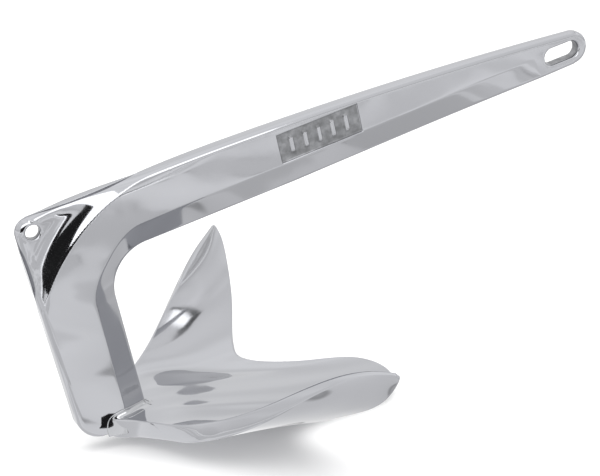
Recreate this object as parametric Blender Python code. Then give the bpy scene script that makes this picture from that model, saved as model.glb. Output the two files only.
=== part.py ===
"""Claw anchor, 5 kg class, in polished stainless steel: a shank and a claw joined by weld runs.

The profile is drawn in millimetres in the anchor's middle plane. p runs along the arm towards the
shackle eye, q runs up across it, and both start at the trip-line hole. The finished part stands on
the underside of its claw, with the arm rising towards the eye, and its origin is the middle of the
foot of its box.
"""
import math

import bmesh
import bpy
import numpy as np

for old in list(bpy.data.objects):
    bpy.data.objects.remove(old, do_unlink=True)

MM = 0.001
GAP = 0.3                       # clearance between touching pieces

# ---- driving dimensions, mm ----
ARM_RISE = math.radians(12.5)   # slope of the arm when the claw stands flat
HOLE_BEHIND = 198.50            # trip-line hole behind the origin
HOLE_ABOVE = 160.89             # and above it
EYE_REACH = 401.5               # trip-line hole to the centre of the eye's outer end
EYE_DROP = -20.97
EYE_WIDTH = 12.0                # width of the shackle slot
EYE_RUN = 14.7                  # distance between the slot's two end centres
SLOT_BACK = 2.0                 # slot's outer end centre behind the eye's centre
EYE_RADIUS = 11.8               # outer radius round the eye
TRIP_HOLE = 10.0                # diameter of the trip-line hole
ARM_TOP = 10.6                  # highest line of the arm above the hole
ARM_SAG = 0.00016               # curvature of the arm's top line
ARM_UNDER = -36.7               # underside of the arm near the bend
LEG_BACK = -11.2                # back edge of the leg
LEG_FRONT = 41.6                # front edge of the leg
LEG_LEAN = 0.026                # the back edge leans this much per mm
FOOT_LEVEL = -157.0             # underside of the foot, let into a slot in the claw
HEEL_START = -142.0             # the heel rounds off below here
HEEL_RADIUS = 15.0
BEND_RADIUS = 29.0              # inside radius of the bend
BAR_HALF = 6.6                  # half thickness of the bent bar
EYE_HALF = 4.7                  # half thickness at the eye
FOOT_HALF = 8.0                 # half thickness where the leg meets the claw
NOSE_HALF = 1.6                 # half thickness of the inner edge
CHAMFER = 16.2                  # width of the long inner chamfer
EDGE = 1.6                      # rounding of the outer edge
CORNER_RADIUS = 9.5             # rounding of the outer corner by the trip-line hole
WEB_CENTRE = (97.0, -109.5)     # centre of the arc where the bar steps down to the corner web
WEB_RADIUS = 119.0
WEB_DROP = 2.5                  # depth of the valley below the bar's face
PANEL = (172.8, 234.4, -19.6, 1.6)      # recessed weight panel: p from, p to, q from, q to
PANEL_DEPTH = 1.5
KEEL_SWELL = 10.0               # extra thickness along the keel of the claw
TALLY_COUNT = 5                 # plain raised bars on the panel
TALLY_WIDTH = 3.2
TALLY_INSET = 5.0               # from the panel's long edges
TALLY_RAISE = 0.8
PANEL_FACE = 6.1                # half thickness of the bar at the panel
THROUGH = 30.0                  # cutters run this far to each side

BEND_CENTRE = (LEG_FRONT + BEND_RADIUS, ARM_UNDER - BEND_RADIUS)

# ribs of the claw from its middle to one fluke tip, mm:
# back edge p, y, q; front edge p, y, q; dish; hump; back thickness; front thickness; heel tuck
RIBS = np.array([
    (13.0, 0.0, -146.2, 215.5, 0.0, -200.0, 3.0, 7.5, 17.0, 4.0, 3.0),
    (14.5, 5.0, -146.4, 213.5, 13.0, -199.8, 3.0, 7.3, 16.5, 4.0, 3.0),
    (19.0, 9.8, -146.8, 206.0, 23.5, -197.8, 3.0, 6.8, 16.0, 4.0, 3.0),
    (25.5, 15.5, -147.4, 192.0, 29.0, -193.8, 3.0, 6.0, 15.0, 4.0, 3.0),
    (32.0, 23.0, -148.0, 170.0, 31.5, -187.5, 3.0, 4.6, 14.0, 4.0, 3.5),
    (39.5, 32.5, -148.6, 148.0, 36.5, -180.9, 3.0, 3.0, 13.0, 4.0, 4.0),
    (48.0, 42.5, -149.0, 134.0, 43.0, -176.0, 2.6, 1.2, 12.4, 4.0, 4.0),
    (57.0, 51.5, -148.2, 128.6, 52.5, -173.6, 1.8, 0.0, 12.0, 4.0, 4.5),
    (67.0, 60.0, -146.8, 130.5, 62.5, -171.2, 1.2, 0.0, 11.4, 4.0, 5.0),
    (79.0, 70.0, -143.6, 136.0, 74.5, -167.0, 1.0, 0.0, 10.6, 4.0, 5.0),
    (96.0, 83.5, -137.0, 145.5, 91.0, -160.0, 1.4, 0.0, 9.4, 3.6, 5.0),
    (117.0, 98.0, -127.8, 154.5, 108.0, -152.0, 2.0, 0.0, 8.2, 3.2, 4.5),
    (137.0, 112.5, -120.2, 161.5, 123.0, -141.0, 2.0, 0.0, 6.8, 2.8, 3.5),
    (153.5, 127.0, -117.0, 166.0, 134.5, -127.8, 1.2, 0.0, 4.4, 2.4, 2.0),
    (165.0, 141.0, -117.3, 166.4, 142.2, -119.5, 0.0, 0.0, 2.0, 1.8, 0.2),
])


def placed(points):
    """Turn (p, y, q) millimetres into the standing frame, still in millimetres."""
    points = np.asarray(points, float)
    along, side, up = points[..., 0], points[..., 1], points[..., 2]
    rise, run = math.sin(ARM_RISE), math.cos(ARM_RISE)
    forward = along * run - up * rise - HOLE_BEHIND
    return np.stack([forward, side, along * rise + up * run + HOLE_ABOVE], axis=-1)


def spline(rows, where):
    """Natural cubic spline through equally spaced rows, read at the parameters in where."""
    rows = np.asarray(rows, float)
    count = len(rows)
    system = np.eye(count)
    right = np.zeros_like(rows)
    inner = np.arange(1, count - 1)
    system[inner, inner - 1] = 1.0
    system[inner, inner] = 4.0
    system[inner, inner + 1] = 1.0
    right[inner] = 6.0 * (rows[2:] - 2.0 * rows[1:-1] + rows[:-2])
    bend = np.linalg.solve(system, right)
    where = np.clip(np.asarray(where, float), 0.0, count - 1.0)
    low = np.minimum(where.astype(int), count - 2)
    high_part = (where - low)[:, None]
    low_part = 1.0 - high_part
    value = low_part * rows[low] + high_part * rows[low + 1]
    value += (low_part ** 3 - low_part) * bend[low] / 6.0
    value += (high_part ** 3 - high_part) * bend[low + 1] / 6.0
    return value


def unit(vectors):
    return vectors / np.maximum(np.linalg.norm(vectors, axis=-1, keepdims=True), 1e-9)


# ---- shank ----
def arm_top(p):
    """Top line of the arm: level, then a gentle sag down to the round of the eye."""
    return ARM_TOP - ARM_SAG * np.maximum(p - 50.0, 0.0) ** 2


def arm_under(p):
    blend = np.clip((p - 180.0) / (EYE_REACH - 180.0), 0.0, 1.0)
    return ARM_UNDER + blend * (EYE_DROP - EYE_RADIUS - ARM_UNDER)


def leg_back(q):
    """Back edge of the leg: straight, then a quarter circle round the heel."""
    below = np.clip((HEEL_START - q) / HEEL_RADIUS, 0.0, 1.0)
    heel = HEEL_RADIUS * (1.0 - np.sqrt(1.0 - below ** 2))
    return LEG_BACK + LEG_LEAN * np.clip(-q - 10.0, 0.0, 132.0) + heel


def shank_stations():
    """Inner edge points, outer edge points and chamfer widths, from the eye's tip to the foot."""
    inner, outer, width = [], [], []
    for turn in np.linspace(math.pi / 2, 0.0, 9)[1:]:
        inner.append((EYE_REACH + EYE_RADIUS * math.sin(turn), EYE_DROP - EYE_RADIUS * math.cos(turn)))
        outer.append((EYE_REACH + EYE_RADIUS * math.sin(turn), EYE_DROP + EYE_RADIUS * math.cos(turn)))
        width.append(EDGE)
    for p in np.linspace(EYE_REACH, BEND_CENTRE[0], 34)[1:]:
        shrink = np.clip((p - 256.0) / 118.0, 0.0, 1.0)
        inner.append((p, float(arm_under(p))))
        outer.append((p, float(arm_top(p))))
        width.append(CHAMFER + (EDGE - CHAMFER) * shrink ** 2)
    corner = [math.radians(43.6), math.radians(50.9)]
    turns = [np.linspace(0.0, corner[0], 13)[1:], np.linspace(*corner, 8)[1:]]
    turns.append(np.linspace(corner[1], math.pi / 2, 12)[1:])
    for turn in np.concatenate(turns):
        ray = (-math.sin(turn), math.cos(turn))
        inner.append((BEND_CENTRE[0] + BEND_RADIUS * ray[0], BEND_CENTRE[1] + BEND_RADIUS * ray[1]))
        outer.append(outline_on_ray(ray))
        width.append(CHAMFER - 4.0 * math.sin(2.0 * turn) ** 2)
    drop = np.linspace(BEND_CENTRE[1], HEEL_START, 10)[1:]
    heel = HEEL_START + (FOOT_LEVEL - HEEL_START) * np.sin(np.linspace(0.0, math.pi / 2, 7)[1:])
    for q in np.concatenate([drop, heel]):
        inner.append((LEG_FRONT, q))
        outer.append((float(leg_back(q)), q))
        width.append(CHAMFER)
    return np.array(inner), np.array(outer), np.array(width)


def outline_on_ray(ray):
    """Where a ray from the bend's centre meets the outer outline, rounded corner included."""
    corner = (LEG_BACK + CORNER_RADIUS, ARM_TOP - 0.4 - CORNER_RADIUS)
    start = BEND_CENTRE
    away = (start[0] - corner[0], start[1] - corner[1])
    half = away[0] * ray[0] + away[1] * ray[1]
    rest = away[0] ** 2 + away[1] ** 2 - CORNER_RADIUS ** 2
    if half * half > rest:
        reach = -half + math.sqrt(half * half - rest)
        hit = (start[0] + reach * ray[0], start[1] + reach * ray[1])
        if hit[0] <= corner[0] and hit[1] >= corner[1]:
            return hit
    reach_top = 1e9
    if ray[1] > 1e-6:
        reach_top = (arm_top(0.0) - start[1]) / ray[1]
        for _ in range(4):
            reach_top = (float(arm_top(start[0] + reach_top * ray[0])) - start[1]) / ray[1]
    reach_back = 1e9
    if ray[0] < -1e-6:
        reach_back = (LEG_BACK - start[0]) / ray[0]
        for _ in range(4):
            reach_back = (float(leg_back(start[1] + reach_back * ray[1])) - start[0]) / ray[0]
    reach = min(reach_top, reach_back)
    return (start[0] + reach * ray[0], start[1] + reach * ray[1])


def past_bar(flat):
    """How far (p, q) lies outside the bent bar's arc, in the corner web; zero along the arm."""
    beyond = np.hypot(flat[..., 0] - WEB_CENTRE[0], flat[..., 1] - WEB_CENTRE[1]) - WEB_RADIUS
    return np.where((flat[..., 0] < WEB_CENTRE[0]) & (flat[..., 1] > WEB_CENTRE[1]), beyond, 0.0)


def half_thickness(flat):
    """Half thickness of the bar at (p, q), stepped down over the corner web."""
    p, q = flat[..., 0], flat[..., 1]
    bar = BAR_HALF + (EYE_HALF - BAR_HALF) * np.clip((p - 60.0) / (EYE_REACH - 60.0), 0.0, 1.0)
    foot = np.clip((-q - 118.0) / 30.0, 0.0, 1.0)
    bar = bar + (FOOT_HALF - BAR_HALF) * foot ** 2
    beyond = past_bar(flat)
    valley = WEB_DROP * (1.0 - np.exp(-np.maximum(beyond, 0.0) / 4.0))
    boss = np.clip((beyond - 10.0) / 16.0, 0.0, 1.0)
    rise = 1.3 * boss * boss * (3.0 - 2.0 * boss)
    return bar - np.where(beyond > 0.0, valley - rise, 0.0)


def shank_rings(grow=0.0):
    """One closed ring of points round the bar at every station, grown by that many mm."""
    inner, outer, width = shank_stations()
    across = unit(outer - inner)
    inner = inner - across * grow
    outer = outer + across * grow
    span = np.linalg.norm(outer - inner, axis=1)
    face = np.maximum(past_bar(outer), 0.0)
    steps = []
    for share in (0.0, 1.0):
        steps.append(share * width)
    for share in (0.35, 0.7):
        steps.append(width + share * np.maximum(span - EDGE - face - width, 0.0))
    for share in (0.0, 0.12, 0.28, 0.5, 0.75):
        steps.append(np.maximum(span - EDGE - face + share * face, 0.0))
    steps.append(np.maximum(span - EDGE, 0.0))
    steps.append(span - 0.3 * EDGE)
    steps.append(span)
    flat = [inner + across * np.clip(step, 0.0, span)[:, None] for step in steps]
    full = [half_thickness(points) for points in flat]
    shrink = np.clip((inner[:, 0] - 256.0) / 118.0, 0.0, 1.0)
    nose = NOSE_HALF + (EYE_HALF - EDGE - NOSE_HALF) * shrink
    full[0] = nose
    full[-2] = full[-2] - 0.3 * EDGE
    full[-1] = full[-1] - EDGE
    full = [half + grow for half in full]
    near = [np.column_stack([spot[:, 0], -half, spot[:, 1]]) for spot, half in zip(flat, full)]
    far = [np.column_stack([spot[:, 0], half, spot[:, 1]]) for spot, half in zip(flat, full)]
    rings = np.stack(near + far[::-1], axis=1)
    rings[-1, :, 2] -= grow
    return rings


def close_tube(rings):
    """Mesh data for a stack of rings, with a fan closing each end."""
    count, around = rings.shape[:2]
    verts = [tuple(point) for point in rings.reshape(-1, 3)]
    faces = []
    for i in range(count - 1):
        for j in range(around):
            k = (j + 1) % around
            faces.append((i * around + j, i * around + k, (i + 1) * around + k, (i + 1) * around + j))
    for row in (0, count - 1):
        centre = rings[row].mean(axis=0)
        verts.append(tuple(centre))
        hub = len(verts) - 1
        for j in range(around):
            k = (j + 1) % around
            pair = (row * around + j, row * around + k)
            faces.append((hub, pair[1], pair[0]) if row == 0 else (hub, pair[0], pair[1]))
    return verts, faces


def steel(name, tint, roughness):
    material = bpy.data.materials.new(name)
    material.use_nodes = True
    shader = material.node_tree.nodes["Principled BSDF"]
    shader.inputs["Base Color"].default_value = (*tint, 1.0)
    shader.inputs["Metallic"].default_value = 1.0
    shader.inputs["Roughness"].default_value = roughness
    return material


def solid(name, verts, faces, material):
    """A named object from millimetre points in (p, y, q), wound outwards."""
    mesh = bpy.data.meshes.new(name)
    mesh.from_pydata([tuple(point) for point in placed(verts) * MM], [], faces)
    work = bmesh.new()
    work.from_mesh(mesh)
    bmesh.ops.remove_doubles(work, verts=work.verts, dist=0.00001)
    bmesh.ops.recalc_face_normals(work, faces=work.faces)
    work.to_mesh(mesh)
    work.free()
    thing = bpy.data.objects.new(name, mesh)
    bpy.context.scene.collection.objects.link(thing)
    if material is not None:
        mesh.materials.append(material)
    mesh.shade_smooth()
    mesh.set_sharp_from_angle(angle=math.radians(25))
    return thing


def cutter(name, verts, faces):
    tool = solid(name, verts, faces, None)
    tool.hide_render = True
    tool.display_type = "WIRE"
    return tool


def cut(target, tool, kind="DIFFERENCE"):
    step = target.modifiers.new(tool.name, "BOOLEAN")
    step.operation = kind
    step.object = tool
    step.solver = "EXACT"


def prism(outline, low, high):
    """A (p, q) outline carried from y = low to y = high."""
    count = len(outline)
    verts = [(p, low, q) for p, q in outline] + [(p, high, q) for p, q in outline]
    faces = [tuple(range(count)), tuple(range(2 * count - 1, count - 1, -1))]
    for i in range(count):
        k = (i + 1) % count
        faces.append((i, k, count + k, count + i))
    return verts, faces


def weld_path():
    """Root line of the weld along one side of the foot, from the heel to the toe: p, y, q."""
    return [(17.0, FOOT_HALF, -146.6), (26.0, FOOT_HALF, -147.4), (34.0, 4.9, -148.5), (41.0, 2.2, -149.6)]


def swept_wedge(path, leg, bite):
    """A fillet of triangular section along a line of points, its root pushed into the corner."""
    path = np.array(path)
    heading = unit(np.gradient(path, axis=0)) * np.array([1.0, 1.0, 0.0])
    outward = unit(np.cross(np.array([0.0, 0.0, 1.0]), heading))
    if outward[0, 1] * np.sign(path[0, 1] + path[0, 0] * 0.001) < 0.0:
        outward = -outward
    up = np.array([0.0, 0.0, 1.0])
    rows = [
        path - outward * bite - up * bite,
        path + outward * leg - up * bite,
        path + outward * leg * 0.86 + up * leg * 0.1,
        path + outward * leg * 0.38 + up * leg * 0.38,
        path + outward * leg * 0.1 + up * leg * 0.9,
        path - outward * bite + up * leg,
    ]
    return np.stack(rows, axis=1)


def slot_outline(steps=10):
    radius = EYE_WIDTH / 2
    outer_end = EYE_REACH - SLOT_BACK
    points = []
    for turn in np.linspace(-math.pi / 2, math.pi / 2, steps):
        points.append((outer_end + radius * math.cos(turn), EYE_DROP + radius * math.sin(turn)))
    for turn in np.linspace(math.pi / 2, 1.5 * math.pi, steps):
        points.append((outer_end - EYE_RUN + radius * math.cos(turn), EYE_DROP + radius * math.sin(turn)))
    return points


def ring_outline(radius, steps=24):
    turns = np.linspace(0.0, 2.0 * math.pi, steps, endpoint=False)
    return [(radius * math.cos(turn), radius * math.sin(turn)) for turn in turns]


def box_outline(p_low, p_high, q_low, q_high):
    return [(p_low, q_low), (p_high, q_low), (p_high, q_high), (p_low, q_high)]


# ---- claw ----
def claw_rings(ribs_per_side=34, along=11, swell=0.0):
    """Closed rings of points from one fluke tip to the other; swell grows the shell by that many mm."""
    mirrored = RIBS[:0:-1].copy()
    mirrored[:, [1, 4]] *= -1.0
    rows = np.vstack([mirrored, RIBS])
    last = len(RIBS) - 1
    where = np.linspace(0.0, 2.0 * last, 2 * ribs_per_side + 1)
    read = spline(rows, where)
    back, front = read[:, 0:3], read[:, 3:6]
    dish, hump, thick_back, thick_front, tuck = read[:, 6:].T
    share = np.linspace(0.0, 1.0, along)[None, :, None]
    chord = front - back
    sideways = np.gradient(back + front, axis=0)
    down = unit(np.cross(sideways, chord))
    sag = 4.0 * share * (1.0 - share) * dish[:, None, None]
    lift = share * (1.0 - share) ** 3 / 0.1055 * hump[:, None, None]
    top = back[:, None, :] + share * chord[:, None, :] + (sag - lift) * down[:, None, :]
    normal = unit(np.cross(np.gradient(top, axis=0), np.gradient(top, axis=1)))
    middle = np.clip(1.0 - np.abs(where - last) / 7.0, 0.0, 1.0)
    body = 1.0 - share[..., 0]
    thick = thick_front[:, None] + (thick_back - thick_front)[:, None] * body ** 2.0
    thick = thick + 4.0 * share[..., 0] * body * KEEL_SWELL * middle[:, None] ** 2
    under = top + normal * thick[..., None]
    tucked = (1.0 - share) ** 3 * tuck[:, None, None]
    under = under + tucked * unit(chord)[:, None, :]
    top = top - normal * swell
    under = under + normal * swell
    tip_out = unit(chord)
    nose = 0.5 * (top[:, -1] + under[:, -1]) + tip_out * (0.5 * thick_front + swell)[:, None]
    rim = 0.5 * (top[:, 0] + under[:, 0])
    rim = rim - tip_out * (0.06 * thick_back + swell)[:, None]
    return np.concatenate([top, nose[:, None], under[:, ::-1], rim[:, None]], axis=1)


polished = steel("mirror_polished_stainless", (0.62, 0.62, 0.61), 0.08)
weld_steel = steel("dressed_weld_stainless", (0.58, 0.58, 0.57), 0.16)

claw = solid("claw", *close_tube(claw_rings()), polished)
shank = solid("shank", *close_tube(shank_rings()), polished)
cut(claw, cutter("foot_slot_cutter", *close_tube(shank_rings(GAP))))
cut(shank, cutter("eye_cutter", *prism(slot_outline(), -THROUGH, THROUGH)))
cut(shank, cutter("trip_hole_cutter", *prism(ring_outline(TRIP_HOLE / 2), -THROUGH, THROUGH)))

for side, label in ((-1.0, "port"), (1.0, "starboard")):
    floor = side * (PANEL_FACE - PANEL_DEPTH)
    cut(shank, cutter(label + "_panel_cutter", *prism(box_outline(*PANEL), floor, side * THROUGH)))
    pitch = (PANEL[1] - PANEL[0]) / (TALLY_COUNT + 1)
    for number in range(TALLY_COUNT):
        middle = PANEL[0] + pitch * (number + 1)
        edges = (middle - TALLY_WIDTH / 2, middle + TALLY_WIDTH / 2)
        bar = box_outline(*edges, PANEL[2] + TALLY_INSET, PANEL[3] - TALLY_INSET)
        block = prism(bar, 0.5 * floor, floor + side * TALLY_RAISE)
        cut(shank, cutter(f"{label}_tally_bar_{number + 1}", *block), "UNION")

claw_skin = cutter("claw_skin_cutter", *close_tube(claw_rings(swell=GAP)))
shank_skin = cutter("shank_skin_cutter", *close_tube(shank_rings(GAP)))
runs = {
    "port_weld": [(p, -y, q) for p, y, q in weld_path()],
    "starboard_weld": weld_path(),
    "toe_weld": [(42.6, -2.6, -149.8), (44.0, 0.0, -150.0), (42.6, 2.6, -149.8)],
}
for label, path in runs.items():
    rings = swept_wedge(path, 5.0, 1.5)
    bead = solid(label, *close_tube(rings), weld_steel)
    cut(bead, claw_skin)
    cut(bead, shank_skin)
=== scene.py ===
"""Claw anchor, 5 kg class, in mirror-polished stainless steel, shown on a plain white floor.

Shapes are worked out in millimetres in the anchor's own drawing frame: p runs along the arm towards
the shackle eye, y to starboard, q up across the arm, and all three start at the trip-line hole.
"""
import math

import bmesh
import bpy
import numpy as np
from mathutils import Matrix, Vector


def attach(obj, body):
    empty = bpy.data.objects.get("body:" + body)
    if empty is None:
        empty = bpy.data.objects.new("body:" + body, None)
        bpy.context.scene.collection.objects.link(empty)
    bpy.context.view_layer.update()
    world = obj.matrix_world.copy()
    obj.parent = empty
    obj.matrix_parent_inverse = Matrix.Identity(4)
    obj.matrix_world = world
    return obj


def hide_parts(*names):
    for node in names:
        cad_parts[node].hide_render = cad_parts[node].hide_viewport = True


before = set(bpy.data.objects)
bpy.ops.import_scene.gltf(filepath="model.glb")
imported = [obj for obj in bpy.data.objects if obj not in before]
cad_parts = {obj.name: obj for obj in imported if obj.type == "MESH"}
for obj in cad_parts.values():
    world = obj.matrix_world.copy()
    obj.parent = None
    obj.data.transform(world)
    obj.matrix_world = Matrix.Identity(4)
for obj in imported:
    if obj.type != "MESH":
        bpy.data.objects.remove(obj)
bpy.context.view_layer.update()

# ---- studio ----
# A white floor under a wide overhead softbox, in a pale room that brightens towards its ceiling.
# Polished steel shows its surroundings, so black and white cards stand just out of shot. They show only in
# the steel: they light nothing, throw no shadow and are never seen directly. Two more are painted shade: a
# glowing sheet laid over the floor, dimmed beside the claw, and a small black card by the heel.


def linear(hex_colour):
    """sRGB hex to linear RGBA: each channel through the sRGB curve, alpha 1."""
    code = hex_colour.lstrip("#")
    channels = [int(code[i:i + 2], 16) / 255.0 for i in (0, 2, 4)]
    return [c / 12.92 if c <= 0.04045 else ((c + 0.055) / 1.055) ** 2.4 for c in channels] + [1.0]


def add(tree, kind, settings=None, links=None):
    """Add one node: settings go to its sockets or attributes, links join other nodes' outputs to it."""
    node = tree.nodes.new(kind)
    for key, value in (settings or {}).items():
        if isinstance(key, int) or key in node.inputs:
            node.inputs[key].default_value = value
        else:
            setattr(node, key, value)
    for key, source in (links or {}).items():
        tree.links.new(source, node.inputs[key])
    return node


def ramp(tree, source, stops):
    """A colour ramp with (position, grey level) stops."""
    node = add(tree, "ShaderNodeValToRGB", links={"Fac": source})
    points = node.color_ramp.elements
    while len(points) < len(stops):
        points.new(0.5)
    for point, (place, level) in zip(points, stops):
        point.position = place
        point.color = (level, level, level, 1.0)
    return node.outputs["Color"]


room = bpy.data.worlds.new("studio_room")
bpy.context.scene.world = room
room.use_nodes = True
tree = room.node_tree
background = tree.nodes["Background"]
look = add(tree, "ShaderNodeTexCoord").outputs["Generated"]
height = add(tree, "ShaderNodeSeparateXYZ", links={0: look}).outputs["Z"]
height = add(tree, "ShaderNodeMapRange", {"From Min": -1.0, "From Max": 1.0}, {"Value": height})
FLOOR_TO_CEILING = [(0.0, 0.7), (0.5, 0.9), (0.56, 1.0), (0.66, 1.08), (0.8, 1.15), (1.0, 1.3)]
glow = ramp(tree, height.outputs["Result"], FLOOR_TO_CEILING)
clouds = add(tree, "ShaderNodeTexNoise", {"Scale": 2.2, "Detail": 1.0, "Distortion": 0.6}, {"Vector": look})
clouds = ramp(tree, clouds.outputs["Fac"], [(0.35, 0.9), (0.5, 1.0), (0.62, 1.08)])
mixed = add(tree, "ShaderNodeMix", {"data_type": "RGBA", "blend_type": "MULTIPLY", "Factor": 1.0})
tree.links.new(glow, mixed.inputs[6])
tree.links.new(clouds, mixed.inputs[7])
tree.links.new(mixed.outputs[2], background.inputs["Color"])
background.inputs["Strength"].default_value = 1.0

FLOOR_HALF = 4.0
FLOOR_LEVEL = -0.0002
mesh = bpy.data.meshes.new("floor")
corners = [(-1, -1), (1, -1), (1, 1), (-1, 1)]
mesh.from_pydata([(x * FLOOR_HALF, y * FLOOR_HALF, FLOOR_LEVEL) for x, y in corners], [], [(0, 1, 2, 3)])
floor = bpy.data.objects.new("floor", mesh)
bpy.context.scene.collection.objects.link(floor)
card = bpy.data.materials.new("white_card_floor")
card.use_nodes = True
card.node_tree.nodes["Principled BSDF"].inputs["Base Color"].default_value = linear("#F4F4F4")
card.node_tree.nodes["Principled BSDF"].inputs["Roughness"].default_value = 0.9
card.node_tree.nodes["Principled BSDF"].inputs["Specular IOR Level"].default_value = 0.1
mesh.materials.append(card)

softbox = bpy.data.lights.new("overhead_softbox", "AREA")
softbox.shape = "RECTANGLE"
softbox.size, softbox.size_y = 2.4, 2.0
softbox.energy = 14.0
lamp = bpy.data.objects.new("overhead_softbox", softbox)
lamp.location = (0.0, -0.15, 1.5)
lamp.visible_glossy = False
bpy.context.scene.collection.objects.link(lamp)


def card_in_reflections(name, corners, material):
    """A flat studio card that only shows in the steel, as cards just out of shot do."""
    mesh = bpy.data.meshes.new(name)
    mesh.from_pydata(corners, [], [tuple(range(len(corners)))])
    mesh.materials.append(material)
    card = bpy.data.objects.new(name, mesh)
    bpy.context.scene.collection.objects.link(card)
    card.visible_camera = False
    card.visible_diffuse = False
    card.visible_shadow = False


def glowing_card(name, stops, scale, near=1.0):
    """Card lit unevenly, in soft folds one over scale metres across. stops are the grey levels from the
    hollows to the crests of the folds, and near is painted shade: how much of the glow is left beside the
    claw, where the claw would shade the floor.
    Only the first reflection sees the folds; later ones see plain white."""
    material = bpy.data.materials.new(name)
    material.use_nodes = True
    tree = material.node_tree
    tree.nodes.remove(tree.nodes["Principled BSDF"])
    place = add(tree, "ShaderNodeTexCoord").outputs["Object"]
    crumple = {"Scale": scale, "Detail": 2.0, "Roughness": 0.5, "Distortion": 1.2}
    folds = add(tree, "ShaderNodeTexNoise", crumple, {"Vector": place})
    level = ramp(tree, folds.outputs["Fac"], stops)
    bounce = add(tree, "ShaderNodeLightPath").outputs["Glossy Depth"]
    later = add(tree, "ShaderNodeMath", {"operation": "GREATER_THAN", 1: 1.5}, {0: bounce})
    mixed = add(tree, "ShaderNodeMix", {"data_type": "RGBA"}, {0: later.outputs["Value"]})
    tree.links.new(level, mixed.inputs[6])
    mixed.inputs[7].default_value = (1.0, 1.0, 1.0, 1.0)
    spot = add(tree, "ShaderNodeSeparateXYZ", links={0: place}).outputs
    # Painted shade: the glow falls from full to near as the sheet runs in beside the claw, from y -0.42 to
    # -0.06 and x -0.14 to 0. It stands in for the claw's shade on the floor.
    close = add(tree, "ShaderNodeMapRange", {"From Min": -0.42, "From Max": -0.06}, {"Value": spot["Y"]})
    right = add(tree, "ShaderNodeMapRange", {"From Min": -0.14, "From Max": 0.0}, {"Value": spot["X"]})
    factors = {0: close.outputs["Result"], 1: right.outputs["Result"]}
    both = add(tree, "ShaderNodeMath", {"operation": "MULTIPLY"}, factors)
    painted_claw_shade = add(tree, "ShaderNodeMapRange", {"To Min": 1.0, "To Max": near}, {"Value": both.outputs["Value"]})
    wires = {"Color": mixed.outputs[2], "Strength": painted_claw_shade.outputs["Result"]}
    light = add(tree, "ShaderNodeEmission", links=wires)
    tree.links.new(light.outputs["Emission"], tree.nodes["Material Output"].inputs["Surface"])
    return material


def upright(left, right, y, bottom, top):
    """Corners of a card that stands across the room at depth y."""
    return [(left, y, bottom), (right, y, bottom), (right, y, top), (left, y, top)]


def flat_on_floor(left, right, front, back, z):
    """Corners of a card that lies at height z."""
    return [(left, front, z), (right, front, z), (right, back, z), (left, back, z)]


CREASES = [(0.36, 0.96), (0.448, 0.98), (0.456, 0.55), (0.464, 1.2), (0.56, 1.3), (0.575, 1.08), (0.66, 1.02)]
# Painted shade: the share of the floor sheet's glow left beside the claw.
CLAW_SHADE_ON_SHEET = 0.72
black = glowing_card("black_velvet_card", [(0.0, 0.012), (1.0, 0.03)], 3.0)
sheet = glowing_card("creased_white_card_painted_claw_shade", CREASES, 4.6, CLAW_SHADE_ON_SHEET)
card_in_reflections("front_flag", upright(-1.0, -0.16, -1.02, 0.0, 0.40), black)
white = glowing_card("white_reflector", [(0.0, 2.6), (1.0, 2.6)], 1.0)
card_in_reflections("front_reflector", upright(-1.1, 0.30, -1.03, 0.40, 1.1), white)
card_in_reflections("floor_flag", flat_on_floor(-0.8, 0.12, -1.02, -0.64, 0.002), black)
card_in_reflections("floor_strip", flat_on_floor(-0.8, 0.12, -0.64, -0.58, 0.002), white)
# The floor as the steel sees it: a glowing sheet just over the floor, with painted shade beside the claw.
card_in_reflections("floor_sheet", flat_on_floor(-0.9, 1.1, -1.0, 0.8, 0.001), sheet)
dark = glowing_card("grey_frame", [(0.0, 0.10), (1.0, 0.22)], 5.0)
SIDE_FRAME = [(0.86, -0.30, 0.68), (1.02, -0.42, 0.44), (0.82, -0.04, 0.90), (0.72, -0.03, 1.00)]
card_in_reflections("side_frame", SIDE_FRAME, dark)
SIDE_WINDOW = [(0.83, -0.28, 0.72), (0.93, -0.36, 0.50), (0.79, -0.09, 0.85), (0.74, -0.08, 0.90)]
card_in_reflections("side_window", SIDE_WINDOW, white)
# Painted shade: a small black card 30 mm in front of the heel, seen only in the steel. It puts a dark patch
# of reflected shade into the steel around the heel.
HEEL_SHADE_CARD = [(-0.1545, 0.008), (-0.1530, 0.0165), (-0.1475, 0.0180), (-0.1425, 0.0175),
             (-0.1420, 0.0050), (-0.1480, 0.0040), (-0.1535, 0.0050)]
card_in_reflections("heel_painted_shade_card", [(x, -0.030, z) for x, z in HEEL_SHADE_CARD], black)

LENS_MM = 132.0
eye = Vector((-0.6054, -1.2368, 0.6740))
ahead = Vector((0.4023, 0.8360, -0.3730)).normalized()
rightward = Vector((0.9001, -0.4356, -0.0054)).normalized()
upward = rightward.cross(ahead)
optics = bpy.data.cameras.new("camera")
optics.sensor_width = 36.0
optics.lens = LENS_MM
optics.clip_start = 0.05
camera = bpy.data.objects.new("camera", optics)
camera.matrix_world = Matrix.Translation(eye) @ Matrix((rightward, upward, -ahead)).transposed().to_4x4()
bpy.context.scene.collection.objects.link(camera)
bpy.context.scene.camera = camera
bpy.context.scene.view_settings.view_transform = "Standard"

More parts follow.
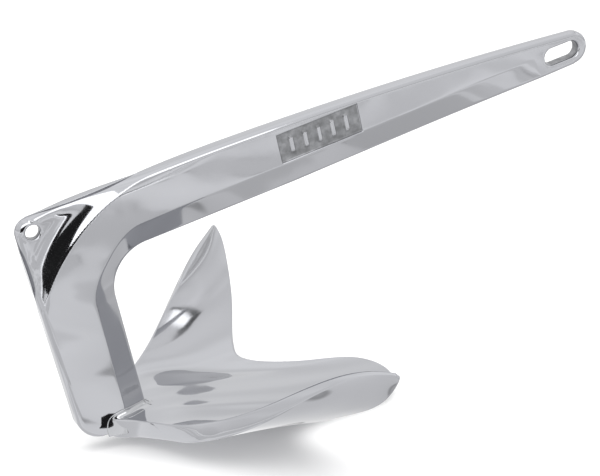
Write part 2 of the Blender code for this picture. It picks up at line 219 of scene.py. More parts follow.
# ---- shank ----
# A flat bar bent through a right angle, cast and then ground and polished to a mirror. Its inner
# edge is a long chamfer, its outer corner a thinner dished web with the trip-line hole, and its
# tip the flat eye with the shackle slot. Each side has a recessed, unpolished weight panel.
MM = 0.001
ARM_RISE = math.radians(12.5)
HOLE_PLACE = (-198.50, 160.89)
ARM_TOP, ARM_SAG, LEVEL_TO = 10.6, 0.00016, 50.0
EYE = (401.5, -20.97)
EYE_RADIUS = 11.8
SLOT_BACK = 2.0
SLOT_RUN = 14.7
SLOT_RADIUS = 6.0
TRIP_RADIUS = 5.0
ARM_UNDER = -36.7
UNDER_FROM = 180.0
LEG_BACK, LEG_FRONT, LEG_LEAN = -11.2, 41.6, 0.026
HEEL_START, FOOT_LEVEL, HEEL_RADIUS = -139.0, -157.0, 18.0
BEND = (70.6, -65.7)
BEND_RADIUS = 29.0
CORNER = (-1.7, 0.7)
CORNER_RADIUS = 9.5
CHAMFER, BEND_PINCH = 16.2, 4.0
PLAIN_FROM, PLAIN_TO = 256.0, 374.0
TIP_ROWS = 30
BAR_HALF, EYE_HALF, FOOT_HALF, NOSE_HALF = 6.6, 4.7, 8.0, 1.6
WEB_CENTRE, WEB_RADIUS = (97.0, -109.5), 119.0
WEB_DROP, WEB_RUN, WEB_RISE, WEB_BEND, WEB_FLAT = 4.5, 17.5, 2.7, 2.4, 34.0
WEB_SHOULDER = (9.0, 2.0)
CHAMFER_BLUNT = 0.16
INNER_ROUND, PLAIN_ROUND, OUTER_ROUND, FOOT_ROUND = 1.4, 2.4, 3.4, 2.0
SLOT_LIP, TRIP_LIP = 1.5, 1.4
PANEL = (172.8, 234.4, -19.6, 1.6)
PANEL_DEPTH, PANEL_WALL = 1.5, 0.9
TALLY_COUNT, TALLY_WIDTH, TALLY_INSET, TALLY_RAISE = 5, 3.2, 5.0, 0.8


def standing(points):
    """(p, y, q) millimetres to world metres: a turn by the arm's rise, then a shift of the hole."""
    p, y, q = points[..., 0], points[..., 1], points[..., 2]
    rise, run = math.sin(ARM_RISE), math.cos(ARM_RISE)
    return np.stack([p * run - q * rise + HOLE_PLACE[0], y, p * rise + q * run + HOLE_PLACE[1]], axis=-1) * MM


def smooth(low, high, value):
    """0 below low, 1 above high, and the cubic 3t^2 - 2t^3 between."""
    share = np.clip((value - low) / (high - low), 0.0, 1.0)
    return share * share * (3.0 - 2.0 * share)


def arm_top(p):
    """The arm's top edge: level near the corner, then a gentle parabola down to the round of the eye."""
    return ARM_TOP - ARM_SAG * np.maximum(p - LEVEL_TO, 0.0) ** 2


def leg_back(q):
    """The leg's back edge: a line that leans in, then a quarter circle round the heel."""
    below = np.clip((HEEL_START - q) / HEEL_RADIUS, 0.0, 1.0)
    lean = LEG_LEAN * np.clip(-q - 10.0, 0.0, 129.0)
    return LEG_BACK + lean + HEEL_RADIUS * (1.0 - np.sqrt(1.0 - below ** 2))


def corner_outline(turn):
    """Where a ray from the bend's centre, turned that far back from upright, leaves the outer
    outline: the rounded corner's circle between its two tangent points, else the nearer edge."""
    ray = np.stack([-np.sin(turn), np.cos(turn)], axis=-1)
    offset = np.array(BEND) - np.array(CORNER)
    half = ray @ offset
    reach = -half + np.sqrt(np.maximum(half ** 2 - offset @ offset + CORNER_RADIUS ** 2, 0.0))
    hit = np.array(BEND) + ray * reach[:, None]
    meets = half ** 2 > offset @ offset - CORNER_RADIUS ** 2
    on_corner = (hit[:, 0] <= CORNER[0]) & (hit[:, 1] >= CORNER[1]) & meets
    to_top = np.full(len(turn), 60.0)
    to_back = np.full(len(turn), 60.0)
    for _ in range(8):
        edge = arm_top(BEND[0] + to_top * ray[:, 0])
        to_top = np.minimum((edge - BEND[1]) / np.maximum(ray[:, 1], 1e-3), 400.0)
        edge = leg_back(BEND[1] + np.minimum(to_back, 200.0) * ray[:, 1])
        to_back = np.minimum((BEND[0] - edge) / np.maximum(-ray[:, 0], 1e-3), 400.0)
    straight = np.array(BEND) + ray * np.minimum(to_top, to_back)[:, None]
    return np.where(on_corner[:, None], hit, straight)


def spaced(low, high, count, crowd=()):
    """count numbers from low to high, closer together by (1 + amount) near each (place, reach, amount)."""
    fine = np.linspace(low, high, 4001)
    weight = np.ones_like(fine)
    for place, reach, amount in crowd:
        weight = weight + amount * np.exp(-((fine - place) / reach) ** 2)
    total = np.concatenate([[0.0], np.cumsum(0.5 * (weight[1:] + weight[:-1]) * np.diff(fine))])
    return np.interp(np.linspace(0.0, total[-1], count), total, fine)


def shank_stations():
    """Chords across the bar from the eye's tip round the bend to the foot: each chord's inner
    point, outer point, chamfer width, and how far the chamfer has turned into a plain round edge."""
    turn = np.linspace(0.5 * math.pi, 0.0, TIP_ROWS)
    across = np.stack([EYE[0] + EYE_RADIUS * np.sin(turn), EYE_RADIUS * np.cos(turn)], axis=1)
    eye_inner = np.stack([across[:, 0], EYE[1] - across[:, 1]], axis=1)
    eye_outer = np.stack([across[:, 0], EYE[1] + across[:, 1]], axis=1)
    bars = np.linspace(PANEL[0], PANEL[1], TALLY_COUNT + 2)[1:-1]
    crowd = [(PANEL[0], 1.2, 3.0), (PANEL[1], 1.2, 3.0)]
    crowd += [(bar + side * TALLY_WIDTH / 2, 0.9, 1.6) for bar in bars for side in (-1.0, 1.0)]
    p = spaced(BEND[0], EYE[0], 330, crowd)[::-1][1:]
    drop = np.clip((p - UNDER_FROM) / (EYE[0] - UNDER_FROM), 0.0, 1.0)
    arm_inner = np.stack([p, ARM_UNDER + drop * (EYE[1] - EYE_RADIUS - ARM_UNDER)], axis=1)
    arm_outer = np.stack([p, arm_top(p)], axis=1)
    turn = spaced(0.0, 0.5 * math.pi, 190, [(math.radians(47.0), 0.12, 0.9)])[1:]
    bend_inner = np.array(BEND) + BEND_RADIUS * np.stack([-np.sin(turn), np.cos(turn)], axis=1)
    bend_outer = corner_outline(turn)
    drop = spaced(FOOT_LEVEL, BEND[1], 100, [(FOOT_LEVEL, 8.0, 2.0)])[::-1][1:]
    leg_inner = np.stack([np.full(len(drop), LEG_FRONT), drop], axis=1)
    leg_outer = np.stack([leg_back(drop), drop], axis=1)
    inner = np.concatenate([eye_inner, arm_inner, bend_inner, leg_inner])
    outer = np.concatenate([eye_outer, arm_outer, bend_outer, leg_outer])
    straight = np.zeros(len(inner) - len(turn) - len(drop))
    bent = np.concatenate([straight, np.sin(2.0 * turn) ** 2, drop * 0.0])
    width = CHAMFER - BEND_PINCH * bent
    plain = np.clip((inner[:, 0] - PLAIN_FROM) / (PLAIN_TO - PLAIN_FROM), 0.0, 1.0) ** 2
    return inner, outer, width, plain


def rounded(distance, radius):
    """How far a quarter-circle edge of that radius lies below the face, that far in from the edge."""
    inside = np.clip(distance, 0.0, radius)
    return radius - np.sqrt(np.maximum(radius ** 2 - (radius - inside) ** 2, 0.0))


def past_bar(p, q):
    """Distance outside the arc where the bar steps down to the corner web; negative on the bar."""
    beyond = np.hypot(p - WEB_CENTRE[0], q - WEB_CENTRE[1]) - WEB_RADIUS
    return np.where((p < WEB_CENTRE[0]) & (q > WEB_CENTRE[1]), beyond, -50.0)


def to_slot(p, q):
    """Distance outside the shackle slot's edge, a circle drawn out along p."""
    along = np.clip(p, EYE[0] - SLOT_BACK - SLOT_RUN, EYE[0] - SLOT_BACK)
    return np.hypot(p - along, q - EYE[1]) - SLOT_RADIUS


def reach_to_stadium(ray, back, ahead_run, radius):
    """Distance from the origin along each ray to a circle drawn out from -back to +ahead_run."""
    flat = radius / np.maximum(np.abs(ray[..., 1]), 1e-6)
    place = flat * ray[..., 0]
    end = np.where(ray[..., 0] > 0.0, ahead_run, -back)
    round_end = end * ray[..., 0] + np.sqrt(np.maximum(radius ** 2 - (end * ray[..., 1]) ** 2, 0.0))
    return np.where((place <= ahead_run) & (place >= -back), flat, round_end)


def open_hole(flat, centre, size, hole, limit):
    """Open a block of cells, size cells each way from the one nearest centre, into a hole's outline.
    Each point moves along its own ray from the centre: the block's edge goes to the hole's edge,
    the limit outline stays, and the points between keep their share of the way. Also returns which
    cells are open."""
    offset = flat - np.array(centre)
    far = np.hypot(offset[..., 0], offset[..., 1])
    row, column = np.unravel_index(np.argmin(far), far.shape)
    ray = offset / np.maximum(far, 1e-6)[..., None]
    rows = np.abs(np.arange(flat.shape[0]) - row)[:, None] / size[0]
    columns = np.abs(np.arange(flat.shape[1]) - column)[None, :] / size[1]
    ring = np.maximum(rows, columns)
    start = far / np.maximum(ring, 1e-6)
    to_hole = reach_to_stadium(ray, hole[0], hole[1], hole[2])
    to_limit = reach_to_stadium(ray, limit[0], limit[1], limit[2])
    share = np.clip((far - start) / np.maximum(to_limit - start, 1e-6), 0.0, 1.0)
    moved = to_hole + share * (to_limit - to_hole)
    near = (ring >= 1.0 - 1e-6) & (far < to_limit)
    result = np.where(near[..., None], np.array(centre) + ray * moved[..., None], flat)
    above, under = rows[:-1], rows[1:]
    gone = (above < 1.0) & (under <= 1.0) | (above <= 1.0) & (under < 1.0)
    left, right = columns[:, :-1], columns[:, 1:]
    gone_columns = (left < 1.0) & (right <= 1.0) | (left <= 1.0) & (right < 1.0)
    return result, gone & gone_columns


def side_height(p, q, from_inner, from_outer, width, plain):
    """Half thickness of the shank: the bar's taper, less the chamfer, the web's dish, the round
    edges, the lips of the two holes and the recessed panel with its raised bars. Along the web's
    outer edge the sum falls below zero, so the two sides cross in the last 1.4 mm there."""
    bar = BAR_HALF + (EYE_HALF - BAR_HALF) * np.clip((p - 60.0) / (EYE[0] - 60.0), 0.0, 1.0)
    bar = bar + (FOOT_HALF - BAR_HALF) * np.clip((-q - 118.0) / 30.0, 0.0, 1.0) ** 2
    slope = (bar - NOSE_HALF) / width
    bevel = NOSE_HALF + slope * from_inner
    lower_of_two = 0.5 * (bevel + bar - np.sqrt((bevel - bar) ** 2 + CHAMFER_BLUNT ** 2))
    bevelled = lower_of_two - rounded(from_inner, INNER_ROUND)
    plain_edge = bar - rounded(from_inner, PLAIN_ROUND)
    height = (1.0 - plain) * bevelled + plain * plain_edge
    beyond = past_bar(p, q)
    fall = 1.0 - np.clip(beyond / WEB_RUN, 0.0, 1.0)
    low_end = smooth(-78.0, -34.0, q)
    depth = WEB_DROP * (0.72 + 0.28 * low_end)
    dish = depth * (1.0 - fall ** WEB_BEND) - WEB_RISE * smooth(WEB_RUN, WEB_FLAT, beyond)
    height = height - np.where(beyond > 0.0, dish, 0.0)
    in_web = (1.0 - smooth(60.0, 135.0, p)) * smooth(-60.0, -30.0, q)
    shoulder = np.clip(1.0 - from_outer / WEB_SHOULDER[0], 0.0, 1.0) ** 2
    height = height - WEB_SHOULDER[1] * in_web * shoulder
    height = height - rounded(from_outer, OUTER_ROUND)
    height = height - rounded(to_slot(p, q), SLOT_LIP) - rounded(np.hypot(p, q) - TRIP_RADIUS, TRIP_LIP)
    inside = np.minimum(np.minimum(p - PANEL[0], PANEL[1] - p), np.minimum(q - PANEL[2], PANEL[3] - q))
    recess = PANEL_DEPTH * smooth(0.0, PANEL_WALL, inside)
    pitch = (PANEL[1] - PANEL[0]) / (TALLY_COUNT + 1)
    number = np.clip(np.round((p - PANEL[0]) / pitch), 1, TALLY_COUNT)
    off_bar = np.abs(p - PANEL[0] - number * pitch) - TALLY_WIDTH / 2
    off_end = np.maximum(PANEL[2] + TALLY_INSET - q, q - PANEL[3] + TALLY_INSET)
    bar_rise = TALLY_RAISE * (1.0 - smooth(-0.6, 0.6, np.maximum(off_bar, off_end)))
    bar_rise = np.where(inside > 0.0, bar_rise, 0.0)
    return height - recess + bar_rise, inside, bar_rise


def finish_mesh(name, points, faces, materials, face_slots):
    """One closed mesh object from one side's millimetre points and their mirror image across y = 0:
    doubles merged, faces outward, smooth shaded."""
    mesh = bpy.data.meshes.new(name)
    faces = np.concatenate([faces, faces[:, ::-1] + len(points)])
    points = np.concatenate([points, points * np.array([1.0, -1.0, 1.0])])
    face_slots = np.concatenate([face_slots, face_slots])
    mesh.from_pydata(standing(points).tolist(), [], faces.tolist())
    for material in materials:
        mesh.materials.append(material)
    mesh.polygons.foreach_set("material_index", face_slots.astype(np.int32))
    work = bmesh.new()
    work.from_mesh(mesh)
    bmesh.ops.remove_doubles(work, verts=work.verts, dist=2e-6)
    bmesh.ops.dissolve_degenerate(work, edges=work.edges, dist=1e-7)
    bmesh.ops.recalc_face_normals(work, faces=work.faces)
    work.to_mesh(mesh)
    work.free()
    mesh.shade_smooth()
    thing = bpy.data.objects.new(name, mesh)
    bpy.context.scene.collection.objects.link(thing)
    return thing


def polished_steel(name, tint, haze, wave_mm):
    """Cast 316 stainless, ground and buffed to a mirror: a cool grey metal. Buffing leaves a slight
    orange-peel waviness 20 to 30 mm long, a faint haze in patches and hairline marks."""
    material = bpy.data.materials.new(name)
    material.use_nodes = True
    tree = material.node_tree
    steel = tree.nodes["Principled BSDF"]
    steel.inputs["Metallic"].default_value = 1.0
    steel.inputs["Base Color"].default_value = linear(tint)
    place = add(tree, "ShaderNodeTexCoord").outputs["Object"]
    hazy = {"Scale": 28.0, "Detail": 4.0, "Roughness": 0.6}
    patches = add(tree, "ShaderNodeTexNoise", hazy, {"Vector": place})
    span = {"From Min": 0.35, "From Max": 0.7, "To Min": haze, "To Max": haze * 2.1}
    rough = add(tree, "ShaderNodeMapRange", span, {"Value": patches.outputs["Fac"]})
    tree.links.new(rough.outputs["Result"], steel.inputs["Roughness"])
    gentle = {"Scale": 36.0, "Detail": 1.5, "Roughness": 0.4}
    wave = add(tree, "ShaderNodeTexNoise", gentle, {"Vector": place})
    depth = {"Strength": 1.0, "Distance": wave_mm * MM}
    swell = add(tree, "ShaderNodeBump", depth, {"Height": wave.outputs["Fac"]})
    drawn_out = {"Scale": (90.0, 2600.0, 2600.0), "Rotation": (0.0, -ARM_RISE, 0.0)}
    hair = add(tree, "ShaderNodeMapping", drawn_out, {"Vector": place})
    marks = add(tree, "ShaderNodeTexNoise", {"Scale": 1.0, "Detail": 2.0}, {"Vector": hair.outputs["Vector"]})
    fine = add(tree, "ShaderNodeBump", {"Strength": 0.25, "Distance": 0.004 * MM},
               {"Height": marks.outputs["Fac"], "Normal": swell.outputs["Normal"]})
    tree.links.new(fine.outputs["Normal"], steel.inputs["Normal"])
    return material


def cast_steel(name, tint):
    """As-cast stainless, for the panel's floor and the walls of the two holes: dull grey, with a
    mottled skin of patches 1 to 5 mm across."""
    material = bpy.data.materials.new(name)
    material.use_nodes = True
    tree = material.node_tree
    steel = tree.nodes["Principled BSDF"]
    steel.inputs["Metallic"].default_value = 1.0
    place = add(tree, "ShaderNodeTexCoord").outputs["Object"]
    mottle = {"Scale": 190.0, "Detail": 3.0, "Roughness": 0.55}
    grains = add(tree, "ShaderNodeTexNoise", mottle, {"Vector": place})
    shade = add(tree, "ShaderNodeValToRGB", links={"Fac": grains.outputs["Fac"]})
    shade.color_ramp.elements[0].position = 0.35
    shade.color_ramp.elements[0].color = linear("#77787A")
    shade.color_ramp.elements[1].position = 0.72
    shade.color_ramp.elements[1].color = linear(tint)
    tree.links.new(shade.outputs["Color"], steel.inputs["Base Color"])
    steel.inputs["Roughness"].default_value = 0.34
    relief = {"Strength": 0.6, "Distance": 0.09 * MM}
    bumps = add(tree, "ShaderNodeBump", relief, {"Height": grains.outputs["Fac"]})
    tree.links.new(bumps.outputs["Normal"], steel.inputs["Normal"])
    return material


mirror_steel = polished_steel("mirror_polished_stainless", "#B2B3B7", 0.045, 0.10)
panel_steel = cast_steel("as_cast_stainless", "#9A9B9E")

inner, outer, width, plain = shank_stations()
span = np.hypot(*(outer - inner).T)
across = (outer - inner) / np.maximum(span, 1e-6)[:, None]
across[0] = (0.0, 1.0)

# Points across each chord crowd at both edges, at the chamfer's ridge, at the panel's two long
# walls, along the step down to the web and round the trip-line hole.
ACROSS_COUNT = 62
FINE_COUNT = 600


def closer(distance, reach, amount):
    """Bell curve of that amount and reach, for closer points near zero distance."""
    return amount * np.exp(-(distance / reach) ** 2)


fine_share = np.linspace(0.0, 1.0, FINE_COUNT)
fine = fine_share[None, :] * span[:, None]
spots = inner[:, None, :] + across[:, None, :] * fine[..., None]
spot_p, spot_q = spots[..., 0], spots[..., 1]
after_start = smooth(PANEL[0] - 12.0, PANEL[0] - 1.0, spot_p)
in_panel = after_start * (1.0 - smooth(PANEL[1] + 1.0, PANEL[1] + 12.0, spot_p))
crowding = 1.0 + closer(fine, 1.3, 3.5) + closer(span[:, None] - fine, 2.0, 3.5)
crowding += closer(fine - width[:, None], 1.2, 2.0) * (1.0 - plain[:, None])
crowding += in_panel * (closer(spot_q - PANEL[2] - 0.4, 0.9, 2.5) + closer(spot_q - PANEL[3] + 0.4, 0.9, 2.5))
crowding += closer(past_bar(spot_p, spot_q) - 2.5, 3.5, 1.6) + closer(np.hypot(spot_p, spot_q), 9.0, 1.3)
total = np.cumsum(crowding, axis=1)
total = (total - total[:, :1]) / (total[:, -1:] - total[:, :1])
shares = np.linspace(0.0, 1.0, ACROSS_COUNT)
reach = np.stack([np.interp(shares, row, fine_share) for row in total]) * span[:, None]
flat = inner[:, None, :] + across[:, None, :] * reach[..., None]

SLOT_CELLS, TRIP_CELLS = (7, 9), (5, 5)
SLOT_BLEND, TRIP_BLEND = 26.0, 8.8
slot_centre = (EYE[0] - SLOT_BACK - SLOT_RUN / 2, EYE[1])
slot_outline = (SLOT_RUN / 2, SLOT_RUN / 2, SLOT_RADIUS)
slot_limit = (SLOT_BLEND, SLOT_RUN / 2, EYE_RADIUS - 0.05)
trip_outline, trip_limit = (0.0, 0.0, TRIP_RADIUS), (0.0, 0.0, TRIP_BLEND)
flat, slot_block = open_hole(flat, slot_centre, SLOT_CELLS, slot_outline, slot_limit)
flat, trip_block = open_hole(flat, (0.0, 0.0), TRIP_CELLS, trip_outline, trip_limit)

along = np.gradient(outer, axis=0)
along = along / np.maximum(np.hypot(*along.T), 1e-9)[:, None]
slant = np.abs(along[:, 0] * across[:, 1] - along[:, 1] * across[:, 0])
slant[:TIP_ROWS] = 1.0
offset = flat - inner[:, None, :]
from_inner = np.einsum("ijk,ik->ij", offset, across)
from_outer = (span[:, None] - from_inner) * slant[:, None]
round_tip = EYE_RADIUS - np.hypot(flat[..., 0] - EYE[0], flat[..., 1] - EYE[1])
tip = flat[..., 0] > EYE[0]
from_outer = np.where(tip, round_tip, from_outer)
from_inner = np.where(tip, 50.0, from_inner)
p, q = flat[..., 0], flat[..., 1]
half, inside, lift = side_height(p, q, from_inner, from_outer, width[:, None], plain[:, None])
half = half - 1.2 * rounded(q - FOOT_LEVEL, FOOT_ROUND)

# One side is a grid of quads with the two holes open. Walls run from every border to the middle
# plane, the foot is closed in the same steps, and the other side is the mirror image.
HALF_STEPS = (0.6, 0.25, 0.0)
rows, columns = half.shape
face = np.concatenate([flat[..., :1], -half[..., None], flat[..., 1:]], axis=2)
index = np.arange(rows * columns).reshape(rows, columns)
quads = np.stack([index[:-1, :-1], index[:-1, 1:], index[1:, 1:], index[1:, :-1]], axis=-1)
kept = ~(slot_block | trip_block)
skin = quads[kept]
raised = 0.25 * (lift[:-1, :-1] + lift[:-1, 1:] + lift[1:, 1:] + lift[1:, :-1]) / TALLY_RAISE
middle = 0.25 * (inside[:-1, :-1] + inside[:-1, 1:] + inside[1:, 1:] + inside[1:, :-1])
CAST_INSIDE, CAST_BELOW = 0.55, 0.8
slots = [((middle[kept] > CAST_INSIDE) & (raised[kept] < CAST_BELOW)).astype(int)]
points = [face.reshape(-1, 3)]
faces = [skin]
border = []
HOLE_COUNT = 2
for block in (slot_block, trip_block):
    r0, r1 = np.flatnonzero(block.any(axis=1))[[0, -1]]
    c0, c1 = np.flatnonzero(block.any(axis=0))[[0, -1]]
    top_side, right_side = index[r0, c0:c1 + 1], index[r0:r1 + 1, c1 + 1]
    bottom_side, left_side = index[r1 + 1, c1 + 1:c0:-1], index[r1 + 1:r0:-1, c0]
    border.append(np.concatenate([top_side, right_side, bottom_side, left_side, [index[r0, c0]]]))
border += [index[:, 0], index[:, -1]]
count = rows * columns
for number, line in enumerate(border):
    base = face.reshape(-1, 3)[line]
    wall = [line]
    for share in HALF_STEPS:
        points.append(base * np.array([1.0, share, 1.0]))
        wall.append(np.arange(count, count + len(line)))
        count += len(line)
    for a, b in zip(wall[:-1], wall[1:]):
        faces.append(np.stack([a[:-1], a[1:], b[1:], b[:-1]], axis=1))
        slots.append(np.full(len(line) - 1, int(number < HOLE_COUNT)))
line = index[-1]
for share in HALF_STEPS:
    points.append(face[-1] * np.array([1.0, share, 1.0]))
    deeper = np.arange(count, count + columns)
    faces.append(np.stack([line[:-1], line[1:], deeper[1:], deeper[:-1]], axis=1))
    slots.append(np.zeros(columns - 1, int))
    line = deeper
    count += columns
shank = finish_mesh("shank_casting", np.concatenate(points), np.concatenate(faces),
                    [mirror_steel, panel_steel], np.concatenate(slots))
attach(shank, "root")
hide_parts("shank")

# ---- claw ----
# One cast shell with a centre palm, which curves down and forward, and two side flukes that sweep
# up to points. Its back edge is a thick blunt rim and its front edge a thin round nose.
RIBS = np.array([
    # back edge p, y, q; front edge p, y, q; dish; hump; back and front thickness; rim's forward tuck
    (13.0, 0.0, -146.2, 215.5, 0.0, -200.0, 3.0, 7.5, 17.0, 4.0, 3.0),
    (14.5, 5.0, -146.4, 213.5, 13.0, -199.8, 3.0, 7.3, 16.5, 4.0, 3.0),
    (19.0, 9.8, -146.8, 206.0, 23.5, -197.8, 3.0, 6.8, 16.0, 4.0, 3.0),
    (25.5, 15.5, -147.4, 192.0, 29.0, -193.8, 3.0, 6.0, 15.0, 4.0, 3.0),
    (32.0, 23.0, -148.0, 170.0, 31.5, -187.5, 3.0, 4.6, 14.0, 4.0, 3.5),
    (39.5, 32.5, -148.6, 148.0, 36.5, -180.9, 3.0, 3.0, 13.0, 4.0, 4.0),
    (48.0, 42.5, -149.0, 134.0, 43.0, -176.0, 2.6, 1.2, 12.4, 4.0, 4.0),
    (57.0, 51.5, -148.2, 128.6, 52.5, -173.6, 1.8, 0.0, 12.0, 4.0, 4.5),
    (67.0, 60.0, -146.8, 130.5, 62.5, -171.2, 1.2, 0.0, 11.4, 4.0, 5.0),
    (79.0, 70.0, -143.6, 136.0, 74.5, -167.0, 1.0, 0.0, 10.6, 4.0, 5.0),
    (96.0, 83.5, -137.0, 145.5, 91.0, -160.0, 1.4, 0.0, 9.4, 3.6, 5.0),
    (117.0, 98.0, -127.8, 154.5, 108.0, -152.0, 2.0, 0.0, 8.2, 3.2, 4.5),
    (137.0, 112.5, -120.2, 161.5, 123.0, -141.0, 2.0, 0.0, 6.8, 2.8, 3.5),
    (153.5, 127.0, -117.0, 166.0, 134.5, -127.8, 1.2, 0.0, 4.4, 2.4, 2.0),
    (165.0, 141.0, -117.3, 166.4, 142.2, -119.5, 0.0, 0.0, 2.0, 1.8, 0.2),
])
KEEL_SWELL = 10.0
KEEL_RIBS = 7.0
HUMP_PEAK = 0.1055     # greatest value of share times (1 - share) cubed


def spline(rows, where):
    """Natural cubic spline through equally spaced rows: on each span the rows' straight blend plus
    a sixth of (share cubed less share) times the second difference at either end."""
    count = len(rows)
    system = np.eye(count)
    right = np.zeros_like(rows)
    inner_rows = np.arange(1, count - 1)
    system[inner_rows, inner_rows - 1] = 1.0
    system[inner_rows, inner_rows] = 4.0
    system[inner_rows, inner_rows + 1] = 1.0
    right[inner_rows] = 6.0 * (rows[2:] - 2.0 * rows[1:-1] + rows[:-2])
    bend = np.linalg.solve(system, right)
    low = np.minimum(where.astype(int), count - 2)
    high_part = (where - low)[:, None]
    low_part = 1.0 - high_part
    value = low_part * rows[low] + high_part * rows[low + 1]
    value += (low_part ** 3 - low_part) * bend[low] / 6.0
    return value + (high_part ** 3 - high_part) * bend[low + 1] / 6.0


def unit(vectors):
    """Each vector over its length."""
    return vectors / np.maximum(np.linalg.norm(vectors, axis=-1, keepdims=True), 1e-9)


def claw_skin(where, share):
    """Upper and lower skin of the claw on a grid of rib number by share of the way from the back
    edge to the front: the upper is the chord, sagged by the dish and lifted by the hump behind the
    palm; the lower is the upper moved along the normal by the thickness, which thins to the front
    as (1 - share) squared and swells along the keel, with its rim tucked forward."""
    mirrored = RIBS[:0:-1].copy()
    mirrored[:, [1, 4]] *= -1.0
    last = len(RIBS) - 1
    read = spline(np.vstack([mirrored, RIBS]), where)
    back, front = read[:, None, 0:3], read[:, None, 3:6]
    dish, hump, thick_back, thick_front, tuck = [column[:, None] for column in read[:, 6:].T]
    body = 1.0 - share[None, :]
    chord = front - back
    down = unit(np.cross(np.gradient(back + front, where, axis=0), chord))
    sag = 4.0 * share * body * dish - share * body ** 3 / HUMP_PEAK * hump
    top = back + share[None, :, None] * chord + sag[..., None] * down
    normal = unit(np.cross(np.gradient(top, where, axis=0), np.gradient(top, share, axis=1)))
    middle = np.clip(1.0 - np.abs(where - last) / KEEL_RIBS, 0.0, 1.0)[:, None]
    thick = thick_front + (thick_back - thick_front) * body ** 2
    thick = thick + 4.0 * share * body * KEEL_SWELL * middle ** 2
    lower = top + normal * thick[..., None] + (body ** 3 * tuck)[..., None] * unit(chord)
    return top, lower, unit(chord)[:, 0], thick_back, thick_front


RIB_ROWS, SHARE_ROWS = 401, 71
where = np.linspace(0.0, 2.0 * (len(RIBS) - 1), RIB_ROWS)
ends = (1.0 - np.cos(np.linspace(0.0, math.pi, SHARE_ROWS))) / 2.0
share = 0.5 * ends + 0.5 * np.linspace(0.0, 1.0, SHARE_ROWS)
top, lower, forward, thick_back, thick_front = claw_skin(where, share)


def blunt_edge(upper, under, outward, reach, count, square):
    """Edge between two skins: a superellipse arc from upper to under, bulging outward by reach.
    square is 2 for a half round and more for a flat band with rounded corners."""
    turn = np.linspace(0.5 * math.pi, -0.5 * math.pi, count)[None, 1:-1, None]
    centre = 0.5 * (upper + under)[:, None]
    half_way = 0.5 * (upper - under)[:, None]
    climb = np.sign(np.sin(turn)) * np.abs(np.sin(turn)) ** (2.0 / square)
    bulge = np.abs(np.cos(turn)) ** (2.0 / square)
    return centre + half_way * climb + outward[:, None] * reach[:, None] * bulge


nose = blunt_edge(top[:, -1], lower[:, -1], forward, 0.5 * thick_front, 13, 2.0)
rim = blunt_edge(lower[:, 0], top[:, 0], -forward, 0.14 * thick_back + 0.3, 21, 3.2)
rings = np.concatenate([top, nose, lower[:, ::-1], rim], axis=1)
rows, columns = rings.shape[:2]
index = np.arange(rows * columns).reshape(rows, columns)
turned = np.roll(index, -1, axis=1)
skin = np.stack([index[:-1], turned[:-1], turned[1:], index[1:]], axis=-1).reshape(-1, 4)
tips = []
hubs = []
for row in (0, rows - 1):
    hubs.append(rings[row].mean(axis=0))
    hub = np.full(columns, rows * columns + len(hubs) - 1)
    tips.append(np.stack([hub, index[row], turned[row], turned[row]], axis=1))
claw_points = np.concatenate([rings.reshape(-1, 3), np.array(hubs)])


def shell_mesh(name, points, quads, triangles, material):
    """Mesh object from quads and the triangles that close its ends."""
    mesh = bpy.data.meshes.new(name)
    mesh.from_pydata(standing(points).tolist(), [], quads.tolist() + triangles.tolist())
    mesh.materials.append(material)
    work = bmesh.new()
    work.from_mesh(mesh)
    bmesh.ops.remove_doubles(work, verts=work.verts, dist=1e-6)
    bmesh.ops.recalc_face_normals(work, faces=work.faces)
    work.to_mesh(mesh)
    work.free()
    mesh.shade_smooth()
    thing = bpy.data.objects.new(name, mesh)
    bpy.context.scene.collection.objects.link(thing)
    return thing


claw = shell_mesh("claw_casting", claw_points, skin, np.concatenate(tips)[:, :3], mirror_steel)
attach(claw, "root")
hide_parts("claw")

# ---- welds ----
# The shank's foot is let into the claw and welded up each side of the heel, along both sides of
# the foot and across its toe. Each run is dressed to a hollow fillet and polished.
weld_steel = polished_steel("dressed_weld_stainless", "#B2B3B6", 0.06, 0.12)
LEFT_SIDE = np.array([
    # on the shank p, y, q; root p, y, q; on the claw p, y, q
    (9.5, 8.0, -157.4, 16.8, 8.0, -159.0, 21.5, 12.0, -158.5),
    (9.5, 8.0, -152.5, 16.8, 8.0, -152.5, 21.5, 12.0, -152.5),
    (12.5, 8.0, -145.6, 17.4, 8.0, -147.5, 22.4, 12.2, -147.6),
    (20.5, 8.0, -142.6, 21.0, 8.0, -147.0, 25.5, 13.0, -147.8),
    (27.5, 7.4, -142.8, 27.5, 7.2, -147.6, 30.5, 12.4, -148.3),
    (34.5, 4.8, -143.9, 34.5, 4.6, -148.5, 38.2, 9.2, -149.4),
    (40.2, 2.2, -144.9, 40.4, 2.1, -149.6, 44.4, 5.2, -150.4),
    (41.9, 0.0, -145.3, 42.0, 0.0, -150.0, 46.8, 0.0, -151.0),
])


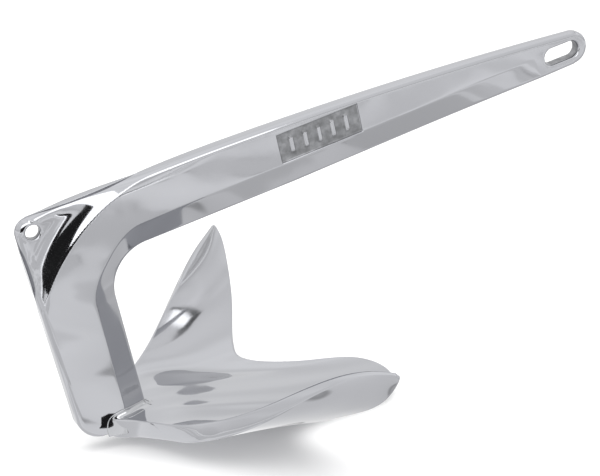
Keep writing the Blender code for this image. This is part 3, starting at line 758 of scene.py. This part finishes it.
def skin_level(points):
    """Height q of the claw's upper skin under each point, from the nearest skin points in plan,
    each weighted by one over its squared distance."""
    flat_skin = top.reshape(-1, 3)
    flat_skin = flat_skin[(flat_skin[:, 0] < 75.0) & (np.abs(flat_skin[:, 1]) < 30.0)]
    gap = ((points[:, None, :2] - flat_skin[None, :, :2]) ** 2).sum(axis=2)
    weight = 1.0 / (gap + 0.02) ** 2
    return (weight * flat_skin[None, :, 2]).sum(axis=1) / weight.sum(axis=1)


def fillet(keys, count=60, arc=16, bury=2.2):
    """Hollow fillet along splined keys: each section is a quadratic Bezier from the shank to the
    claw with its control point at the root, closed behind by a point pushed into the metal."""
    read = spline(keys, np.linspace(0.0, len(keys) - 1.0, count))
    on_shank, root, on_claw = read[:, 0:3], read[:, 3:6], read[:, 6:9]
    t = np.linspace(0.0, 1.0, arc)[None, :, None]
    curve = (1.0 - t) ** 2 * on_shank[:, None] + 2.0 * t * (1.0 - t) * root[:, None]
    curve = curve + t ** 2 * on_claw[:, None]
    inward = unit(2.0 * root - on_shank - on_claw)
    behind = np.stack([on_claw + inward * bury, root + inward * bury, on_shank + inward * bury], axis=1)
    return np.concatenate([curve, behind], axis=1)


both_sides = np.concatenate([LEFT_SIDE * np.array([1.0, -1.0, 1.0] * 3), LEFT_SIDE[-2::-1]])
for column in (5, 8):
    on_top = np.concatenate([np.arange(3, 8), np.arange(7, 12)])
    keys = both_sides[on_top][:, column - 2:column + 1]
    both_sides[on_top, column] = skin_level(keys) + (0.05 if column == 8 else -0.1)
rings = fillet(both_sides, 181)
RUNS = [
    ("port_weld_run", "port_weld", 0, 78),
    ("toe_weld_run", "toe_weld", 78, 102),
    ("starboard_weld_run", "starboard_weld", 102, 180),
]
for name, node, first, final in RUNS:
    part = rings[first:final + 1]
    rows, columns = part.shape[:2]
    index = np.arange(rows * columns).reshape(rows, columns)
    turned = np.roll(index, -1, axis=1)
    skin = np.stack([index[:-1], turned[:-1], turned[1:], index[1:]], axis=-1).reshape(-1, 4)
    hub = np.array([part[0].mean(axis=0), part[-1].mean(axis=0)])
    ends = []
    for number, row in enumerate((0, rows - 1)):
        ends.append(np.stack([np.full(columns, rows * columns + number), index[row], turned[row]], axis=1))
    run = shell_mesh(name, np.concatenate([part.reshape(-1, 3), hub]), skin, np.concatenate(ends), weld_steel)
    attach(run, "root")
    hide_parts(node)
